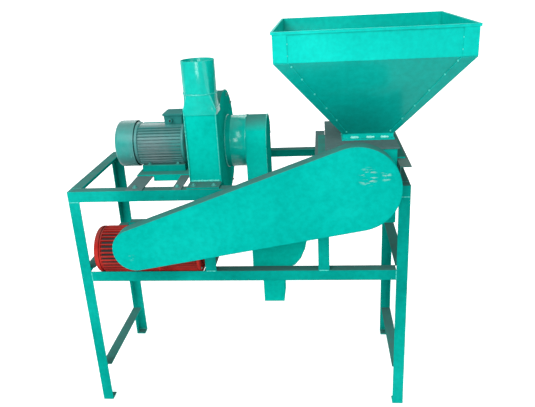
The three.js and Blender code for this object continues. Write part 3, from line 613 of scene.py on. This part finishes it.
MY, MZ = 64.0, 648.0
def build_main_motor():
    b = Mesh("main_motor_body_shell", ["red", "dark", "bolt"], node="main_motor_body")
    b.turned("x", MY, MZ, [(12.3, 87), (84, 87), (85, 89), (85, 93), (80, 95), (79, 96), (79, 197), (86, 198), (88, 199.5), (88, 206), (12.3, 206)], 96)
    fins(b, MY, MZ, 95, 198, 78, 88, 36, [(246, 294)], 5.6, 5.0)
    # painted shade: near-black sleeve just under the fin roots, so the gaps between fins read as shaded slots
    b.mi = 1
    b.turned("x", MY, MZ, [(79.2, 96.6), (80.6, 96.6), (80.6, 196.6), (79.2, 196.6)], 96, closed=True)
    b.mi = 0
    for x0, x1 in ((100, 125), (160, 190)):
        b.prism([(MY - 58, 551.3), (MY - 58, 560), (MY - 40, 566), (MY - 28, 580), (MY + 28, 580), (MY + 40, 566), (MY + 58, 560), (MY + 58, 551.3)], "x", x0, x1)
    b.mi = 2
    for x in (112, 175):
        b.bolt("z", x, MY + 50, 562, 1, 5.5, 4.5)
    b.done(0.5, 2, 35)
    REBUILT.add("main_motor_body")
    c = Mesh("main_motor_cowl_shell", ["red", "dark", "bolt"], node="main_motor_cowl")
    c.turned("x", MY, MZ, [(86, 86.7), (88, 86.7), (88, 80), (87.2, 76), (85, 72), (81, 68.6), (76, 66.2), (70, 64.8), (66, 64.2), (66, 66.4), (71, 67.0), (77, 68.8), (81.5, 71.8), (84.8, 76), (86, 80)], 96, closed=True)
    for r in (68, 59, 50, 41):
        c.turned("x", MY, MZ, [(r, 64.4), (r, 66.6), (r - 4, 66.6), (r - 4, 64.4)], 64, closed=True)
    for a in range(0, 360, 30):
        cc, ss = math.cos(math.radians(a)), math.sin(math.radians(a))
        q = lambda u, v: (MY + u * cc - v * ss, MZ + u * ss + v * cc)
        c.prism([q(20, -2), q(67, -2), q(67, 2), q(20, 2)], "x", 64.7, 66.7)
    c.turned("x", MY, MZ, [(0, 64.05), (30, 64.05), (30, 66.4), (0, 66.4)], 40)
    # painted shade: near-black disc inside the cowl, behind the grille
    c.mi = 1
    c.turned("x", MY, MZ, [(0, 74), (80, 74), (80, 76), (0, 76)], 48)
    c.done(0.0, 2, 35)
    REBUILT.add("main_motor_cowl")
    g = Mesh("gear_case_shell", ["red", "dark", "bolt"], node="gear_case")
    g.turned("x", MY, MZ, [(84, 206.3), (88, 206.3), (88, 213), (86, 215), (80, 216), (80, 296), (86, 297), (88, 299), (88, 307), (86, 309), (80, 310), (80, 444), (86, 446), (88, 448), (88, 453), (84, 456), (30, 456), (30, 446), (70, 444), (76, 436), (76, 320), (14, 306), (13, 290), (83, 286)], 96, closed=True)
    fins(g, MY, MZ, 215, 297, 79, 88, 48, [(246, 294)], 3.0, 2.4)
    fins(g, MY, MZ, 309, 446, 79, 88, 48, [(246, 294)], 3.0, 2.4)
    # painted shade: near-black sleeve under the fin roots, so the gaps between ribs read as shaded slots
    g.mi = 1
    g.turned("x", MY, MZ, [(80.2, 216.6), (81.4, 216.6), (81.4, 295.6), (80.2, 295.6)], 96, closed=True)
    g.mi = 0
    for x0, x1 in ((225, 255), (400, 430)):
        g.prism([(MY - 50, 551.3), (MY - 50, 558), (MY - 28, 572), (MY + 28, 572), (MY + 50, 558), (MY + 50, 551.3)], "x", x0, x1)
    g.turned("y", 250, 698.3, [(12.2, -9), (24, -9), (26, -6), (26, 12), (12.2, 12)], 48, closed=True)
    g.mi = 2
    for a in range(0, 360, 45):
        g.bolt("x", MY + 78 * math.cos(math.radians(a)), MZ + 78 * math.sin(math.radians(a)), 454.6, 1, 4.2, 3.2, False)
    # painted shade: near-black disc at the bottom of the recess in the end face
    g.mi = 1
    g.turned("x", MY, MZ, [(0, 448), (32, 448), (32, 449.5), (0, 449.5)], 40)
    g.done(0.4, 2, 35)
    REBUILT.add("gear_case")
build_fan_motor()
build_main_motor()

# ---------------------------------------------------------------- belt drive
def build_drive():
    SX, SZ, OX, OZ = 1030, 922, 250, 698.3
    def pul(name, node, x, z, R, hub, bore, body, spokes):
        p = Mesh(name, ["iron", "steel", "dark"], body=body, node=node)
        prof = [(bore, -72), (hub, -72), (hub + 1, -66), (R - 17, -66), (R - 16, -72), (R - 0.8, -72), (R, -71.2), (R, -66), (R - 10, -61), (R - 10, -51), (R, -46), (R, -40.8), (R - 0.8, -40), (R - 16, -40), (R - 17, -46), (hub + 1, -46), (hub, -40), (bore, -40)] if spokes else \
               [(bore, -72), (R - 1, -72), (R, -71), (R, -66), (R - 10, -61), (R - 10, -51), (R, -46), (R, -41), (R - 1, -40), (bore, -40)]
        p.turned("y", x, z, prof, 96, closed=True)
        p.mi = 1
        for k in range(3):
            a = math.radians(120 * k + 30)
            rr = hub * 0.7 if spokes else R * 0.55
            p.bolt("y", x + rr * math.cos(a), z + rr * math.sin(a), -72, -1, 3.6, 2.6, False)
        p.done(0.4, 2, 35)
        REBUILT.add(node)
    pul("driven_pulley_fine", "driven_pulley", SX, SZ, 95, 32, 15.3, "mill_rotor", True)
    pul("drive_pulley_fine", "drive_pulley", OX, OZ, 45, 20, 12.3, "gear_output", False)
    b = Mesh("drive_belt_fine", ["rubber"], node="drive_belt")
    off = lambda d: hull2(OX, OZ, 44 - d, SX, SZ, 94 - d, 96)
    b.loops([(off(0), -60.3), (off(0), -51.7), (off(4), -52.4), (off(8), -53.2), (off(8), -58.8), (off(4), -59.6)], "y", close=True)
    b.done(0.0, 2, 50)
    REBUILT.add("drive_belt")
build_drive()

# ---------------------------------------------------------------- everything else, from the frame's own shapes
for name in sorted(NODES):
    if name in REBUILT:
        continue
    big = name.startswith(("leg_", "top_rail", "mid_rail", "low_brace", "post_"))
    refine(name, "plate" if name in ("mill_top_plate", "mill_bearer_left", "fan_bearer_left", "fan_bearer_right") else None, 1.0 if big else 0.6, 3 if big else 2)

# ---------------------------------------------------------------- frame details
def build_frame_details():
    w = Mesh("frame_weld_beads", ["weld"], slot="frame_paint")
    L, D, H, ZM, ZB = 1200, 513, 900, 583, 145
    for x, s in ((0, 1), (L, -1)):
        for y, q in ((0, 1), (D, -1)):
            w.bead((x + s * 3, y + q * 0.6, 859.8), (x + s * 38, y + q * 0.6, 859.8), 2.2)
            w.bead((x + s * 3.0, y + q * 3, 859.8), (x + s * 3.0, y + q * 38, 859.8), 2.2)
            w.bead((x + s * 40.4, y + q * 1.0, 545), (x + s * 40.4, y + q * 1.0, 582), 2.2)
            w.bead((x + s * 3.0, y + q * 40.4, 545), (x + s * 3.0, y + q * 40.4, 582), 2.0)
            w.bead((x + s * 3.0, y + q * 40.4, 107), (x + s * 3.0, y + q * 40.4, 144), 2.0)
            w.bead((x + s * 5, y + q * 5, 6.5), (x + s * 36, y + q * 5, 6.5), 2.4)
            w.bead((x + s * 5, y + q * 5, 6.5), (x + s * 5, y + q * 36, 6.5), 2.4)
            w.bead((x + s * 38, y + q * 40.2, 898.6), (x + s * 4, y + q * 40.2, 898.6), 1.8)
    for x in (473, 884):
        w.bead((x + 2, 0.8, 583.6), (x + 38, 0.8, 583.6), 2.2)
        w.bead((x + 2, 0.8, 859.9), (x + 38, 0.8, 859.9), 2.2)
    for x0, x1 in ((878, 915), (1161, 1200)):
        w.bead((x0 + 2, 2, 901.5), (x0 + 5, 40, 901.5), 2.0)
    w.done(0.0)
    b = Mesh("frame_bolts", ["bolt"], slot="steel")
    for x in (244, 397):
        for y in (20, 493):
            b.bolt("z", x, y, 904.2, 1, 6.5, 5.5)
    b.bolt("z", 1056, 67, 1018.1, 1, 6.0, 5.0)
    b.done(0.2, 1, 35)
    # seams on the separator
    s = Mesh("separator_seams", ["weld"], slot="sheet_paint")
    s.bead((629, 159, 738), (629, 159, 514), 1.5)
    s.bead((631, 159, 513), (763, 159, 513), 1.6)
    s.bead_path([(765, 159, 513), (793, 159, 528.5), (816, 159, 556.5), (832, 159, 594), (843, 159, 645)], 1.6)
    s.bead((664, 199.5, 511), (739, 199.5, 511), 2.0)
    s.done(0.0)
build_frame_details()

# ---------------------------------------------------------------- stage, light, camera
def stage():
    bm = bmesh.new()
    P = []
    prof = [(-6.0, 0.0), (2.2, 0.0), (2.9, 0.06), (3.5, 0.3), (4.0, 0.8), (4.2, 1.5), (4.25, 5.0)]
    rows = [[bm.verts.new((x, y, z - 0.0005)) for x in (-9.0, -3.0, 0.0, 3.0, 9.0)] for y, z in prof]
    for a, b in zip(rows[:-1], rows[1:]):
        for i in range(4):
            f = bm.faces.new((a[i], a[i + 1], b[i + 1], b[i]))
            f.smooth = True
    me = bpy.data.meshes.new("studio_floor")
    bm.to_mesh(me)
    bm.free()
    n = Nodes("studio_floor_paint")
    t = n.noise(1.2, 2.0, 0.5)
    c = n.ramp(t, "Fac", [(0.3, (0.90, 0.90, 0.90)), (0.7, (0.93, 0.93, 0.93))])
    n.link(c, "Color", n.b, "Base Color")
    n.b.inputs["Roughness"].default_value = 0.85
    n.b.inputs["Emission Color"].default_value = (1.0, 1.0, 1.0, 1.0)
    n.b.inputs["Emission Strength"].default_value = 0.5
    me.materials.append(n.m)
    o = bpy.data.objects.new("studio_floor", me)
    bpy.context.scene.collection.objects.link(o)
stage()

def area(name, loc, target, size, power, color=(1, 1, 1)):
    l = bpy.data.lights.new(name, "AREA")
    l.shape = "RECTANGLE"
    l.size, l.size_y = size
    l.energy = power
    l.color = color
    o = bpy.data.objects.new(name, l)
    o.location = loc
    o.rotation_euler = (Vector(target) - Vector(loc)).to_track_quat("-Z", "Y").to_euler()
    bpy.context.scene.collection.objects.link(o)

area("key", (-1.6, -2.6, 3.4), (0, 0, 0.8), (2.4, 1.8), 112)
area("fill", (3.0, -2.2, 2.0), (0, 0, 0.7), (2.4, 2.4), 32)
area("front", (-0.1, -3.0, 1.9), (0, 0, 0.9), (0.9, 0.7), 26)
area("top", (0.2, 0.3, 4.2), (0, 0, 0.8), (3.2, 3.2), 28)
area("back", (-0.6, 3.2, 3.0), (0, 0, 0.9), (3.0, 1.6), 40)

world = bpy.data.worlds.new("studio")
bpy.context.scene.world = world
world.use_nodes = True
bg = world.node_tree.nodes.get("Background")
bg.inputs["Color"].default_value = (1, 1, 1, 1)
bg.inputs["Strength"].default_value = 0.38

sc = bpy.context.scene
sc.view_settings.view_transform = "Standard"
sc.view_settings.look = "None"
cam = bpy.data.cameras.new("camera")
cam.sensor_fit = "HORIZONTAL"
cam.sensor_width = 36.0
cam.lens = 590.1138 / 535 * 36
cam.clip_start, cam.clip_end = 0.05, 60
co = bpy.data.objects.new("camera", cam)
sc.collection.objects.link(co)
yaw, pitch, roll = -0.1006, 0.3662, -0.0530
fwd = Vector((math.sin(yaw) * math.cos(pitch), math.cos(yaw) * math.cos(pitch), -math.sin(pitch)))
right = Vector((math.cos(yaw), -math.sin(yaw), 0))
up = right.cross(fwd)
r2 = math.cos(roll) * right + math.sin(roll) * up
u2 = -math.sin(roll) * right + math.cos(roll) * up
R = Matrix((r2, u2, -fwd)).transposed().to_4x4()
co.matrix_world = Matrix.Translation(((904.58 - CX) / 1000, (-1898.67 - CY) / 1000, 1.57615)) @ R
sc.camera = co
